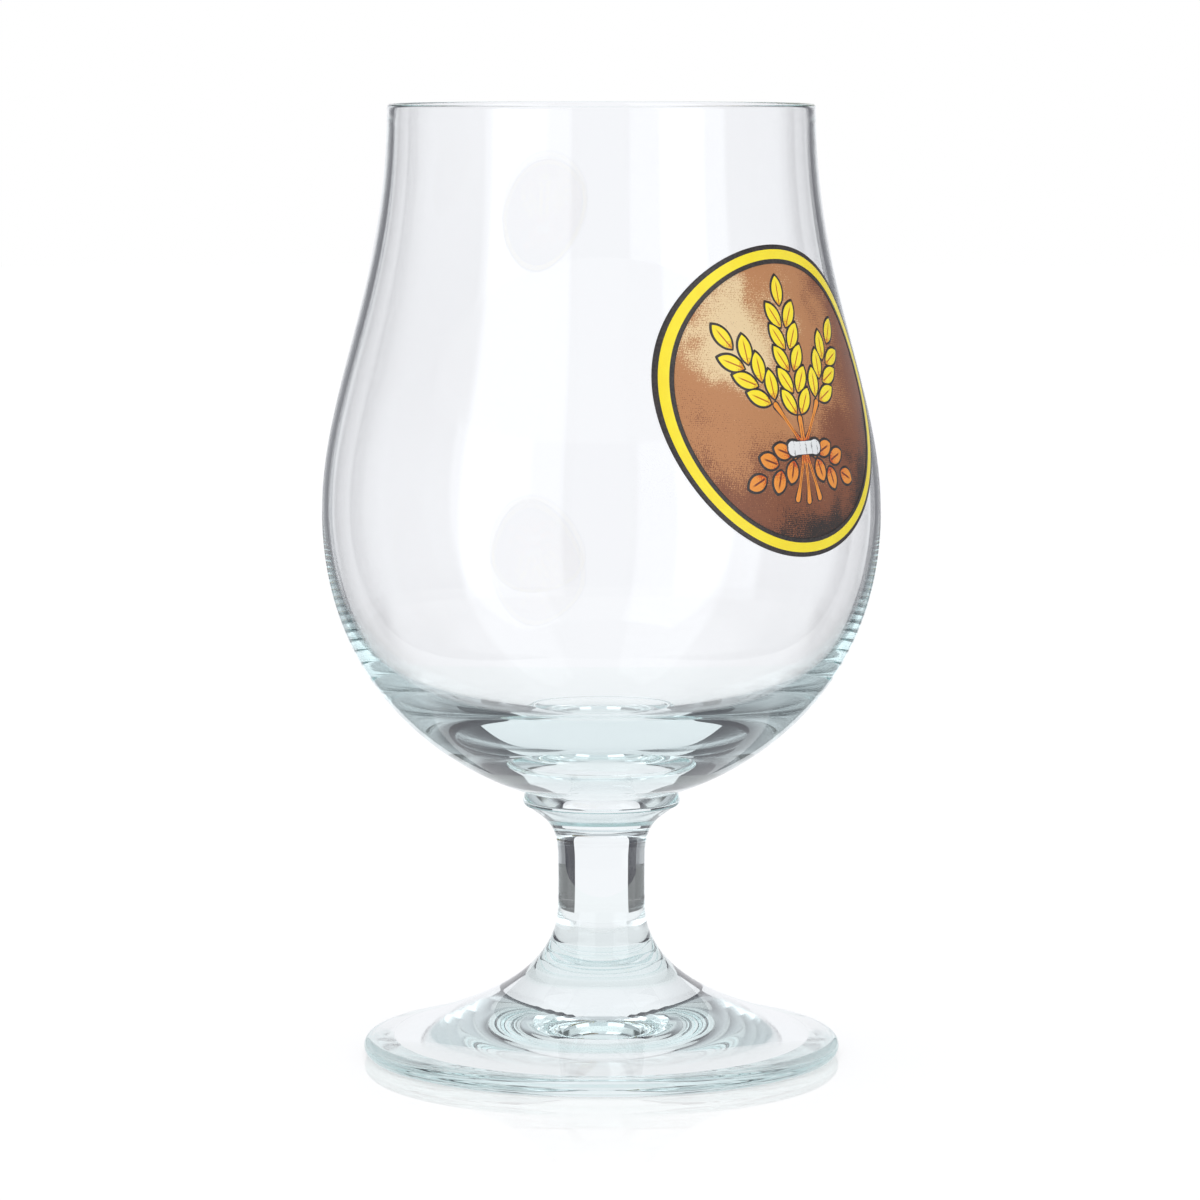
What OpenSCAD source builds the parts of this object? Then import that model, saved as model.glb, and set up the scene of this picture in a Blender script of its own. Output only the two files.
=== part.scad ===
// Tulip beer glass on a short stem and a wide pressed foot.
// The frame's origin is the middle of the foot on the table, +Z points up, and -Y is the front.
// The printed roundel faces the front right. All lengths are in millimetres.

/* [Bowl] */
// Height of the bowl, from its seat on the collar to the lip
bowl_h = 108; // [100:0.5:116]
// Diameter over the lip
rim_d = 66.8; // [62:0.2:72]
// Diameter at the widest place
belly_d = 87.8; // [82:0.2:94]
// Height of the widest place above the bowl's seat
belly_h = 44.5; // [40:0.5:50]
// Thickness of the blown wall
wall_t = 0.95; // [0.8:0.05:1.3]
// Thickness of the rounded lip
lip_t = 1.15; // [1.1:0.05:1.6]
// Thickness of the solid glass under the cavity
base_t = 9.7; // [8:0.1:11.5]
// Diameter of the flat face that is fused to the collar
seat_d = 24; // [21:0.2:24.4]

/* [Collar] */
// Height of the collar
collar_h = 2.3; // [1.8:0.1:3.2]
// Diameter at the collar's bulge
collar_d = 24.8; // [24.6:0.1:27]
// Diameter of the collar's lower edge
collar_low_d = 23.2; // [21:0.1:24]

/* [Stem] */
// Height of the stem, from the foot's neck to the collar
stem_h = 15.8; // [12:0.2:22]
// Diameter of the stem at its waist
waist_d = 13.7; // [12:0.1:15]
// Diameter where the stem ends on the foot's neck
neck_d = 13.8; // [13:0.1:16]
// Height of the flared head under the collar
head_h = 8.1; // [6:0.1:9]

/* [Foot] */
// Height of the foot, from the table to the top of its neck
foot_h = 23.9; // [20:0.1:28]
// Diameter over the foot's edge
foot_d = 75.2; // [68:0.2:82]
// Thickness of the foot's edge
edge_t = 3.1; // [2.5:0.1:4]
// Diameter of the hollow under the foot
hollow_d = 64; // [50:1:66]
// Depth of the hollow at the middle
hollow_h = 4.6; // [3:0.1:6]
// Number of chill rings round the flare
chill_rings = 4; // [1:1:5]
// Height of each chill ring
chill_w = 1.45; // [1:0.05:1.8]
// How far the chill rings swell out of the flare
chill_t = 0.12; // [0.05:0.01:0.2]
// Drop from the top of the neck to the highest chill ring
chill_drop = 4; // [3:0.1:5]

/* [Printed roundel] */
// Diameter over the outer black line
roundel_d = 47; // [40:0.5:48]
// Height of the roundel's middle above the table
roundel_h = 105.5; // [100:0.5:110]
// Turn of the roundel from the front, towards the right
roundel_turn = 46; // [0:1:90]
// Thickness of the fired enamel
print_t = 0.12; // [0.1:0.01:0.2]
// Width of the two black rings
ring_line_w = 0.6; // [0.4:0.05:0.8]
// Width of the gold ring between them
ring_w = 1.7; // [1.2:0.1:2.2]
// Width of the black line round each figure
line_w = 0.32; // [0.2:0.02:0.36]
// Lean of the two outer ears of barley
ear_lean = 35; // [34:1:37]

/* [Hidden] */
$fn = 96;

// Places along the axis
stem_z = foot_h;
collar_z = stem_z + stem_h;
seat_z = collar_z + collar_h;
belly_z = seat_z + belly_h;
lip_z = seat_z + bowl_h;

// Radii
rim_r = rim_d / 2;
belly_r = belly_d / 2;
seat_r = seat_d / 2;
collar_r = collar_d / 2;
collar_low_r = collar_low_d / 2;
waist_r = waist_d / 2;
neck_r = neck_d / 2;
foot_r = foot_d / 2;
hollow_r = hollow_d / 2;

// Handles of the curves, each a share of its curve's height or width
rim_pull_share = 0.43;
shoulder_pull_share = 0.3;
belly_pull_share = 0.81;
flare_pull_share = 0.474;
flare_rise_share = 0.208;
flare_run_share = 0.525;
head_pull_share = 0.7;
cove_reach_share = 0.45;
cove_drop_share = 0.215;
bulge_height_share = 0.42;
waist_height_share = 0.42;

// Power that squares the floor of the cavity
floor_power = 3.5;
curve_steps = 22;
flare_steps = 44;
edge_steps = 8;
chill_steps = 6;

// A point at share t along the cubic curve from a to d, drawn towards b and then c
function on_curve(a, b, c, d, t) =
    pow(1 - t, 3) * a + 3 * t * pow(1 - t, 2) * b + 3 * t * t * (1 - t) * c + t * t * t * d;
function curve(a, b, c, d, steps) = [for (i = [0:steps]) on_curve(a, b, c, d, i / steps)];

// A list without its first point, and a list turned end for end
function after_first(points) = [for (i = [1:len(points) - 1]) points[i]];
function turned(points) = [for (i = [len(points) - 1:-1:0]) points[i]];

// The outside of the bowl, from the seat up to where the lip rounds over
lip_r = lip_t / 2;
shoulder_h = lip_z - lip_r - belly_z;
lower_bowl = curve([seat_r, seat_z], [seat_r, seat_z], [belly_r, belly_z - belly_pull_share * belly_h],
                   [belly_r, belly_z], curve_steps);
upper_bowl = curve([belly_r, belly_z], [belly_r, belly_z + shoulder_pull_share * shoulder_h],
                   [rim_r, lip_z - lip_r - rim_pull_share * shoulder_h], [rim_r, lip_z - lip_r], curve_steps);
bowl_outside = concat(lower_bowl, after_first(upper_bowl));

// The lip is a half circle from the outside over to the inside
function arc(centre, r, from, to, steps) =
    [for (i = [0:steps]) centre + r * [cos(from + (to - from) * i / steps), sin(from + (to - from) * i / steps)]];
lip = arc([rim_r - lip_r, lip_z - lip_r], lip_r, 0, 180, edge_steps);

// The inside follows the outside at the wall's thickness, and a squared ellipse closes the floor
inner_belly_r = belly_r - wall_t;
inner_rim_r = rim_r - wall_t;
floor_z = seat_z + base_t;
cavity_h = belly_z - floor_z;
bead_h = 2 * lip_t;
upper_cavity = curve([inner_rim_r, lip_z - bead_h],
                     [inner_rim_r, lip_z - bead_h - rim_pull_share * shoulder_h],
                     [inner_belly_r, belly_z + shoulder_pull_share * shoulder_h],
                     [inner_belly_r, belly_z], curve_steps);
lower_cavity = [for (i = [curve_steps:-1:0])
    let (turn = 90 * i / curve_steps)
    [inner_belly_r * pow(sin(turn), 2 / floor_power), floor_z + cavity_h * (1 - cos(turn))]];

module bowl() {
    color("lavender", 0.35)
    rotate_extrude()
    polygon(concat([[0, seat_z]], bowl_outside, after_first(lip), upper_cavity, after_first(lower_cavity)));
}

module collar() {
    bulge_z = collar_z + bulge_height_share * collar_h;
    color("powderblue", 0.5)
    rotate_extrude()
    polygon(concat([[0, collar_z]],
                   curve([collar_low_r, collar_z], [collar_r, collar_z], [collar_r, bulge_z],
                         [collar_r, bulge_z], edge_steps),
                   [[seat_r, seat_z], [0, seat_z]]));
}

module stem() {
    head_z = collar_z - head_h;
    waist_z = stem_z + waist_height_share * (head_z - stem_z);
    head_r = (waist_r + neck_r) / 2;
    column = curve([neck_r, stem_z], [waist_r, waist_z], [waist_r, waist_z], [head_r, head_z], edge_steps);
    cove_r = collar_low_r - cove_reach_share * (collar_low_r - head_r);
    head = curve([head_r, head_z], [head_r, head_z + head_pull_share * head_h],
                 [cove_r, collar_z - cove_drop_share * head_h], [collar_low_r, collar_z], curve_steps);
    color("gainsboro", 0.5)
    rotate_extrude()
    polygon(concat([[0, stem_z]], column, after_first(head), [[0, collar_z]]));
}

module foot() {
    edge_r = edge_t / 2;
    top_r = foot_r - edge_r;
    flare_h = foot_h - edge_t;
    flare = curve([top_r, edge_t], [top_r - flare_run_share * top_r, edge_t + flare_rise_share * foot_h],
                  [neck_r, foot_h - flare_pull_share * flare_h], [neck_r, foot_h], flare_steps);
    // The chill rings swell out of the flare as half waves that meet in grooves
    radius_at = [for (p = flare) [p[1], p[0]]];
    chill_top = foot_h - chill_drop;
    chill_low = chill_top - chill_rings * chill_w;
    chills = [for (i = [0:chill_rings * chill_steps])
        let (z = chill_low + chill_w * i / chill_steps)
        [lookup(z, radius_at) + chill_t * abs(sin(180 * i / chill_steps)), z]];
    top = concat([for (p = flare) if (p[1] < chill_low) p], chills, [for (p = flare) if (p[1] > chill_top) p]);
    edge = arc([top_r, edge_r], edge_r, -90, 90, 2 * edge_steps);
    hollow = [for (i = [0:curve_steps])
        let (turn = 90 * i / curve_steps)
        [hollow_r * sin(turn), hollow_h * pow(cos(turn), 2)]];
    color("lightcyan", 0.5)
    rotate_extrude()
    polygon(concat(hollow, edge, after_first(top), [[0, foot_h]]));
}

// The enamel lies on the bowl's own outside, so it has the same curve and stands print_t proud of it
reach = belly_r;
module on_bowl() {
    skin = concat(bowl_outside, turned([for (p = bowl_outside) p + [print_t, 0]]));
    intersection() {
        rotate_extrude()
        polygon(skin);
        translate([0, 0, roundel_h])
        rotate([90, 0, roundel_turn])
        linear_extrude(height = reach + print_t)
        children();
    }
}

// The roundel's figures are shares of its brown field
roundel_r = roundel_d / 2;
gold_r = roundel_r - ring_line_w;
inner_line_r = gold_r - ring_w;
field_r = inner_line_r - ring_line_w;
tie_height_share = -0.34;
grain_length_share = 0.23;
grain_width_share = 0.115;
grain_root_share = 0.022;
grain_step_share = 0.158;
middle_start_share = 0.24;
outer_start_share = 0.42;
scale_length_share = 0.18;
scale_width_share = 0.12;
scale_step_share = 0.15;
hop_start_share = 0.15;
stalk_width_share = 0.045;
butt_length_share = 0.42;
ribbon_width_share = 0.26;
ribbon_height_share = 0.12;
tie_y = tie_height_share * field_r;
grain_tilt = 32;
scale_tilt = 46;
hop_lean = 116;
butt_lean = 18;
middle_pairs = 5;
outer_pairs = 3;
hop_pairs = 2;

// An almond that stands on its own root, l long and w wide, with its outline grown by grow
module almond(l, w, grow) {
    long = l + 2 * grow;
    wide = w + 2 * grow;
    side_r = (long * long + wide * wide) / (4 * wide);
    translate([0, l / 2])
    intersection() {
        translate([side_r - wide / 2, 0]) circle(side_r);
        translate([wide / 2 - side_r, 0]) circle(side_r);
    }
}

// Pairs of almonds up a line, and one more that closes the top
module spike(pairs, start, step, l, w, tilt, grow) {
    root = grain_root_share * field_r;
    for (i = [0:pairs - 1], side = [-1, 1])
        translate([side * root, start + i * step])
        rotate(-side * tilt)
        almond(l, w, grow);
    translate([0, start + pairs * step]) almond(l, w, grow);
}

module ear(pairs, start, grow) {
    spike(pairs, start, grain_step_share * field_r,
          grain_length_share * field_r, grain_width_share * field_r, grain_tilt, grow);
}

module ears(grow) {
    translate([0, tie_y]) {
        ear(middle_pairs, middle_start_share * field_r, grow);
        for (side = [-1, 1])
            rotate(side * ear_lean)
            ear(outer_pairs, outer_start_share * field_r, grow);
    }
}

module hops(grow) {
    for (side = [-1, 1])
        translate([0, tie_y])
        rotate(side * hop_lean)
        spike(hop_pairs, hop_start_share * field_r, scale_step_share * field_r,
              scale_length_share * field_r, scale_width_share * field_r, scale_tilt, grow);
}

// One stalk from the tie outwards
module stalk(l, grow) {
    w = stalk_width_share * field_r + 2 * grow;
    translate([-w / 2, 0]) square([w, l + grow]);
}

module stalks(grow) {
    translate([0, tie_y]) {
        stalk(middle_start_share * field_r, grow);
        for (turn = [-ear_lean, ear_lean])
            rotate(turn)
            stalk(outer_start_share * field_r, grow);
        for (turn = [-butt_lean, 0, butt_lean])
            rotate(180 + turn)
            stalk(butt_length_share * field_r, grow);
        for (turn = [-hop_lean, hop_lean])
            rotate(turn)
            stalk(hop_start_share * field_r, grow);
    }
}

// The ribbon round the tie has round ends
module ribbon(grow) {
    w = ribbon_width_share * field_r;
    h = ribbon_height_share * field_r + 2 * grow;
    translate([0, tie_y]) {
        square([w, h], center = true);
        for (side = [-1, 1]) translate([side * w / 2, 0]) circle(h / 2);
    }
}

module figures(grow) {
    ears(grow);
    hops(grow);
    stalks(grow);
    ribbon(grow);
}

module orange_figures() {
    difference() {
        union() {
            hops(0);
            stalks(0);
        }
        ribbon(line_w);
        ears(line_w);
    }
}

module ring(outer, inner) {
    difference() {
        circle(outer);
        circle(inner);
    }
}

module print_black() {
    color("black")
    on_bowl() {
        ring(roundel_r, gold_r);
        ring(inner_line_r, field_r);
        difference() {
            figures(line_w);
            ears(0);
            orange_figures();
            ribbon(0);
        }
    }
}

module print_gold() {
    color("gold")
    on_bowl() {
        ring(gold_r, inner_line_r);
        ears(0);
    }
}

module print_brown() {
    color("saddlebrown")
    on_bowl()
    difference() {
        circle(field_r);
        figures(line_w);
    }
}

module print_orange() {
    color("orangered")
    on_bowl()
    orange_figures();
}

module print_white() {
    color("whitesmoke")
    on_bowl()
    ribbon(0);
}

bowl();
collar();
stem();
foot();
print_black();
print_gold();
print_brown();
print_orange();
print_white();
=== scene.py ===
# %% [markdown]
# # A tulip beer glass on a short stem
#
# This lesson dresses one packed glass in Blender. The real object is four pieces of clear glass that are
# melted together, a blown bowl, a small collar, a short stem and a pressed foot, with one round print fired
# onto the bowl. Clear glass has no colour of its own to speak of: what shows is the room behind and before
# it, bent by the thickness of each wall. So most of the work goes into true, smooth surfaces and into the
# lights.

import math

import bpy
import numpy as np
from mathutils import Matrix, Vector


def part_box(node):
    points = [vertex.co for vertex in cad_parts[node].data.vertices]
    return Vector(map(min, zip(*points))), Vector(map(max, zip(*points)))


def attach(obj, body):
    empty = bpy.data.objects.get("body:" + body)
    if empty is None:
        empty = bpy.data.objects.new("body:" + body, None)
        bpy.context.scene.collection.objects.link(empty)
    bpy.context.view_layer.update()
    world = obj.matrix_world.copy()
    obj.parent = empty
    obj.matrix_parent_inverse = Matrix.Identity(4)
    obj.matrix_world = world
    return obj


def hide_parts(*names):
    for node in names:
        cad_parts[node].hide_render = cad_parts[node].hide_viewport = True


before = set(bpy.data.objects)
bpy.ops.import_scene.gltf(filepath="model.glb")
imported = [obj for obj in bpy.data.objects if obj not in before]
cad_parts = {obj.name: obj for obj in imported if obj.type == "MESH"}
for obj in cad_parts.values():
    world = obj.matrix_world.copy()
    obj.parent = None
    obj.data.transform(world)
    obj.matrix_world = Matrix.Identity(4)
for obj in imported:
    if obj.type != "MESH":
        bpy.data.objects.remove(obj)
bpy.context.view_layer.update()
MM = 0.001
print("pieces in the frame:", sorted(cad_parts))

# %% [markdown]
# Every height comes from the frame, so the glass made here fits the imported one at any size. The radii and
# the curve handles are the ones the solids were drawn with.

# %% Heights and radii
FOOT_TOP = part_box("foot")[1][2]
STEM_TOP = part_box("stem")[1][2]
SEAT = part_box("bowl")[0][2]
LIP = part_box("bowl")[1][2]
BELLY = SEAT + 44.5 * MM

RIM_R = 33.4 * MM
BELLY_R = 43.9 * MM
SEAT_R = 12.0 * MM
COLLAR_R = 12.4 * MM
COLLAR_LOW_R = 11.6 * MM
WAIST_R = 6.85 * MM
NECK_R = 6.9 * MM
FOOT_R = 37.6 * MM
HOLLOW_R = 32.0 * MM

WALL = 0.95 * MM
LIP_T = 1.15 * MM
BASE_T = 9.7 * MM
EDGE_T = 3.1 * MM
HOLLOW_H = 4.6 * MM
HEAD_H = 8.1 * MM
CHILL_RINGS = 4
CHILL_W = 1.45 * MM
CHILL_T = 0.025 * MM
CHILL_TOP = FOOT_TOP - 4 * MM
print("heights in mm:", [round(h / MM, 2) for h in (FOOT_TOP, STEM_TOP, SEAT, BELLY, LIP)])

# %% [markdown]
# The photograph was taken from a little above the lip with a long lens. The ellipses of the lip and the
# foot fix the camera: their heights and widths in the picture agree for one distance, height and tilt only.

# %% The camera
CAMERA_BACK = 835.6 * MM
CAMERA_UP = 159.6 * MM
CAMERA_ASIDE = -0.23 * MM
CAMERA_TILT = math.radians(5.97)
FOCAL_PX = 5340
FRAME_PX = 1200
SENSOR_MM = 36

camera_data = bpy.data.cameras.new("camera")
camera_data.sensor_width = SENSOR_MM
camera_data.lens = SENSOR_MM * FOCAL_PX / FRAME_PX
camera = bpy.data.objects.new("camera", camera_data)
camera.location = (CAMERA_ASIDE, -CAMERA_BACK, CAMERA_UP)
camera.rotation_euler = (math.pi / 2 - CAMERA_TILT, 0, 0)
bpy.context.scene.collection.objects.link(camera)
bpy.context.scene.camera = camera
print("lens:", round(camera_data.lens, 1), "mm")

# %% [markdown]
# A glass is a turned form. Its profile is a line of points from the axis, round the outside and back to the
# axis, and turning that line about Z gives one closed skin. The curved stretches are cubic curves with two
# handles, which is how the mould maker's drawing has them too.

# %% Curves and turning
def cubic(a, b, c, d, steps):
    """Points from a to d. At share t the point is the mix of a, b, c and d with the weights
    (1-t)^3, 3t(1-t)^2, 3t^2(1-t) and t^3."""
    t = np.linspace(0, 1, steps + 1)[:, None]
    a, b, c, d = (np.array(p, float) for p in (a, b, c, d))
    return (1 - t) ** 3 * a + 3 * t * (1 - t) ** 2 * b + 3 * t * t * (1 - t) * c + t ** 3 * d


def arc(centre, r, start, end, steps):
    """Points on a circle of radius r: the centre plus r times the cosine and sine of each angle."""
    a = np.radians(np.linspace(start, end, steps + 1))
    return np.stack([centre[0] + r * np.cos(a), centre[1] + r * np.sin(a)], -1)


SAME_POINT = 1e-7


def joined(*stretches):
    """One line from several, without the points that repeat where they meet."""
    line = np.vstack([np.atleast_2d(np.array(s, float)) for s in stretches])
    step = np.linalg.norm(np.diff(line, axis=0), axis=1)
    return line[np.concatenate([[True], step > SAME_POINT])]


def capped_grid(rows, cols, flip=False):
    """Faces of a grid whose rows close into rings. Two more points follow the grid's own: the first closes
    the first ring and the second closes the last. With flip, every face runs the other way round."""
    i, j = np.meshgrid(np.arange(rows - 1), np.arange(cols), indexing="ij")
    k = (j + 1) % cols
    quads = np.stack([i * cols + j, i * cols + k, (i + 1) * cols + k, (i + 1) * cols + j], -1).reshape(-1, 4)
    j = np.arange(cols)
    k = (j + 1) % cols
    first = np.stack([np.full(cols, rows * cols), k, j], -1)
    last = np.stack([np.full(cols, rows * cols + 1), (rows - 1) * cols + j, (rows - 1) * cols + k], -1)
    if flip:
        quads, first, last = quads[:, [0, 3, 2, 1]], first[:, [0, 2, 1]], last[:, [0, 2, 1]]
    return quads.tolist() + first.tolist() + last.tolist()


SIDES = 192
SHARP = math.radians(40)


def turned(name, profile, fused=()):
    """The profile point (r, z) at turn a goes to (r cos a, r sin a, z). The first and last points lie on the
    axis and become one vertex each. Faces of the flat stretches at the heights in fused get the value 1 in
    the attribute of that name."""
    r, z = profile[1:-1, 0], profile[1:-1, 1]
    a = np.linspace(0, 2 * np.pi, SIDES, endpoint=False)
    ring = np.stack([np.outer(r, np.cos(a)), np.outer(r, np.sin(a)), np.outer(z, np.ones(SIDES))], -1)
    verts = np.vstack([ring.reshape(-1, 3), [[0, 0, profile[0, 1]], [0, 0, profile[-1, 1]]]])
    mesh = bpy.data.meshes.new(name)
    mesh.from_pydata(verts.tolist(), [], capped_grid(len(r), SIDES))
    heights = np.concatenate([
        np.where(np.isclose(z[:-1], z[1:]), z[:-1], np.nan).repeat(SIDES),
        np.full(SIDES, np.where(np.isclose(profile[0, 1], z[0]), z[0], np.nan)),
        np.full(SIDES, np.where(np.isclose(profile[-1, 1], z[-1]), z[-1], np.nan)),
    ])
    flat = np.zeros(len(heights))
    for height in fused:
        flat[np.isclose(heights, height)] = 1
    mesh.attributes.new("fused", "FLOAT", "FACE").data.foreach_set("value", flat)
    mesh.polygons.foreach_set("use_smooth", np.ones(len(mesh.polygons), bool))
    mesh.set_sharp_from_angle(angle=SHARP)
    piece = bpy.data.objects.new(name, mesh)
    bpy.context.scene.collection.objects.link(piece)
    print(name, "faces:", len(mesh.polygons), "fused:", int(flat.sum()))
    return piece


# %% [markdown]
# Where two pieces are melted together, no surface is left inside the real glass. Each piece here is still a
# closed skin, and its fused faces keep a hair's breadth apart from their neighbour's. The material bends no
# light on them, so the glass looks like one body and still comes apart into its pieces.

# %% The fused seams
SEAM = 0.01 * MM

# %% [markdown]
# ## The bowl
#
# It is blown in a turning mould. The outside swells from the seat to the belly and draws in to the lip, the
# wall is under a millimetre, and the base is a solid lens. The lip is fire-polished, so it is a round bead,
# a little thicker than the wall.

# %% The bowl's profile
SHOULDER_H = LIP - LIP_T / 2 - BELLY
RIM_PULL, SHOULDER_PULL, BELLY_PULL = 0.43, 0.3, 0.81
FLOOR_POWER = 3.5
BELLY_STEPS, SHOULDER_STEPS, LIP_STEPS = 150, 70, 16


def outside_of_bowl():
    """Up from the seat to the belly, and on to the lip."""
    lower = cubic((SEAT_R, SEAT), (SEAT_R, SEAT), (BELLY_R, BELLY - BELLY_PULL * (BELLY - SEAT)),
                  (BELLY_R, BELLY), BELLY_STEPS)
    upper = cubic((BELLY_R, BELLY), (BELLY_R, BELLY + SHOULDER_PULL * SHOULDER_H),
                  (RIM_R, LIP - LIP_T / 2 - RIM_PULL * SHOULDER_H), (RIM_R, LIP - LIP_T / 2), SHOULDER_STEPS)
    return joined(lower, upper)


def inside_of_bowl():
    """Down from the lip by the outside's curve, and below the belly by a squared ellipse: at turn t its
    radius is sin(t)^(2/power) of the belly's, and its height above the floor is 1-cos(t) of the cavity's."""
    r, top = BELLY_R - WALL, LIP - 2 * LIP_T
    upper = cubic((RIM_R - WALL, top), (RIM_R - WALL, top - RIM_PULL * SHOULDER_H),
                  (r, BELLY + SHOULDER_PULL * SHOULDER_H), (r, BELLY), SHOULDER_STEPS)
    floor = SEAT + BASE_T
    t = np.linspace(np.pi / 2, 0, BELLY_STEPS + 1)
    lower = np.stack([r * np.sin(t) ** (2 / FLOOR_POWER), floor + (BELLY - floor) * (1 - np.cos(t))], -1)
    return joined(upper, lower)


lip = arc((RIM_R - LIP_T / 2, LIP - LIP_T / 2), LIP_T / 2, 0, 180, LIP_STEPS)
bowl_outside = outside_of_bowl()
bowl_line = joined((0, SEAT + SEAM), (SEAT_R, SEAT + SEAM), bowl_outside[1:], lip, inside_of_bowl())
bowl = turned("tulip_bowl", bowl_line, fused=[SEAT + SEAM])

# %% [markdown]
# ## Collar, stem and foot
#
# The collar is the bead of glass that is squeezed out where the bowl is set on the stem. The stem is drawn,
# so it has a slight waist. The foot is pressed: its neck spreads into a shallow cone with a rounded edge,
# and the underside is hollow, so that the glass stands on a ring.

# %% The collar
BULGE_SHARE = 0.42
BULGE_STEPS, TAPER_STEPS = 20, 8

bulge = STEM_TOP + BULGE_SHARE * (SEAT - STEM_TOP)
collar_line = joined(
    (0, STEM_TOP + SEAM), (COLLAR_LOW_R, STEM_TOP + SEAM),
    cubic((COLLAR_LOW_R, STEM_TOP + SEAM), (COLLAR_R, STEM_TOP + SEAM), (COLLAR_R, bulge),
          (COLLAR_R, bulge), BULGE_STEPS),
    cubic((COLLAR_R, bulge), (COLLAR_R, bulge), (SEAT_R, SEAT - SEAM), (SEAT_R, SEAT - SEAM), TAPER_STEPS),
    (0, SEAT - SEAM))
collar = turned("collar_ring", collar_line, fused=[STEM_TOP + SEAM, SEAT - SEAM])

# %% The stem
WAIST_SHARE = 0.42
HEAD_PULL, COVE_REACH, COVE_DROP = 0.7, 0.45, 0.215
COLUMN_STEPS, HEAD_STEPS = 40, 60

head = STEM_TOP - HEAD_H
waist = FOOT_TOP + WAIST_SHARE * (head - FOOT_TOP)
head_r = (WAIST_R + NECK_R) / 2
cove_r = COLLAR_LOW_R - COVE_REACH * (COLLAR_LOW_R - head_r)
stem_line = joined(
    (0, FOOT_TOP + SEAM),
    cubic((NECK_R, FOOT_TOP + SEAM), (WAIST_R, waist), (WAIST_R, waist), (head_r, head), COLUMN_STEPS),
    cubic((head_r, head), (head_r, head + HEAD_PULL * HEAD_H), (cove_r, STEM_TOP - COVE_DROP * HEAD_H),
          (COLLAR_LOW_R, STEM_TOP - SEAM), HEAD_STEPS),
    (0, STEM_TOP - SEAM))
stem = turned("stem_column", stem_line, fused=[FOOT_TOP + SEAM, STEM_TOP - SEAM])

# %% The foot
FLARE_REACH, FLARE_RISE, NECK_PULL = 0.475, 0.208, 0.474
HOLLOW_STEPS, EDGE_STEPS, NECK_STEPS = 60, 32, 200

top_r = FOOT_R - EDGE_T / 2
t = np.linspace(0, np.pi / 2, HOLLOW_STEPS + 1)
hollow = np.stack([HOLLOW_R * np.sin(t), HOLLOW_H * np.cos(t) ** 2], -1)
neck = cubic((top_r, EDGE_T), (top_r * FLARE_REACH, EDGE_T + FLARE_RISE * FOOT_TOP),
             (NECK_R, FOOT_TOP - NECK_PULL * (FOOT_TOP - EDGE_T)), (NECK_R, FOOT_TOP - SEAM), NECK_STEPS)
below_top = (CHILL_TOP - neck[:, 1]) / CHILL_W
chills = np.where((below_top > 0) & (below_top < CHILL_RINGS), np.abs(np.sin(np.pi * below_top)), 0)
neck[:, 0] += CHILL_T * chills
edge = arc((top_r, EDGE_T / 2), EDGE_T / 2, -90, 90, EDGE_STEPS)
foot_line = joined(hollow, edge, neck, (0, FOOT_TOP - SEAM))
foot = turned("pressed_foot", foot_line, fused=[FOOT_TOP - SEAM])

# %% [markdown]
# ## The print
#
# A round print in five enamels is fired onto the front right of the bowl: a gold ring, a brown field, three
# ears of barley and two hop cones, tied with a white ribbon. Screen-printed enamel stands a tenth of a
# millimetre proud, with a rounded edge that catches the light. So each figure is a closed dab of its own,
# not a picture on a sheet. The drawing is made flat, with every point written as the complex number x + iy,
# because a turn and a move are then one product and one sum. The bowl's own curve bends it afterwards.

# %% From the flat drawing to the bowl
ROUNDEL_R = 23.5 * MM
ROUNDEL_UP = 105.5 * MM
ROUNDEL_TURN = math.radians(46)
RING_LINE_W = 0.6 * MM
RING_W = 1.7 * MM
LINE_W = 0.32 * MM
GOLD_R = ROUNDEL_R - RING_LINE_W
INNER_LINE_R = GOLD_R - RING_W
FIELD_R = INNER_LINE_R - RING_LINE_W
TIE = -0.34j * FIELD_R
HOOP_EDGE, LINE_EDGE, FIELD_EDGE = 8, 24, 90
ALONG = np.array([math.cos(ROUNDEL_TURN), math.sin(ROUNDEL_TURN), 0])
OUTWARD = np.array([math.sin(ROUNDEL_TURN), -math.cos(ROUNDEL_TURN), 0])
UP = np.array([0, 0, 1])


def on_bowl(flat, lift):
    """The flat point x + iy goes to the roundel's height plus y. The bowl has radius R there, so the point
    lies x along the roundel and the root of (R + lift)^2 - x^2 out from the axis."""
    x, z = flat.real, ROUNDEL_UP + flat.imag
    r = np.interp(z, bowl_outside[:, 1], bowl_outside[:, 0]) + lift
    out = np.sqrt(r * r - x * x)
    return x[..., None] * ALONG + out[..., None] * OUTWARD + z[..., None] * UP


# %% Outlines of the figures
def almond(length, width, grow, points=16):
    """Two arcs that meet in two tips. For a long and a wide axis, their radius is
    (long^2 + wide^2) / (4 wide)."""
    long, wide = length + 2 * grow, width + 2 * grow
    r = (long ** 2 + wide ** 2) / (4 * wide)
    half = math.asin(long / 2 / r)
    side = r * np.exp(1j * np.linspace(-half, half, points, endpoint=False)) - (r - wide / 2)
    return np.concatenate([side, -side]) + 0.5j * length


def capsule(length, width, grow, points=12):
    """Two half circles round the ends of a line that runs up the y axis."""
    r = width / 2 + grow
    half = r * np.exp(1j * np.linspace(0, np.pi, points))
    return np.concatenate([half + 1j * (length - width / 2), -half + 0.5j * width])


def round_spot(r, points=128):
    return r * np.exp(1j * np.linspace(0, 2 * np.pi, points, endpoint=False))


# %% [markdown]
# A dab's skin is a grid. Its rows shrink the outline towards its middle, over the top and back underneath.
# It rises from the root to the tip like a shingle, so that each grain lies over the root of the next one up
# the ear.

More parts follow.
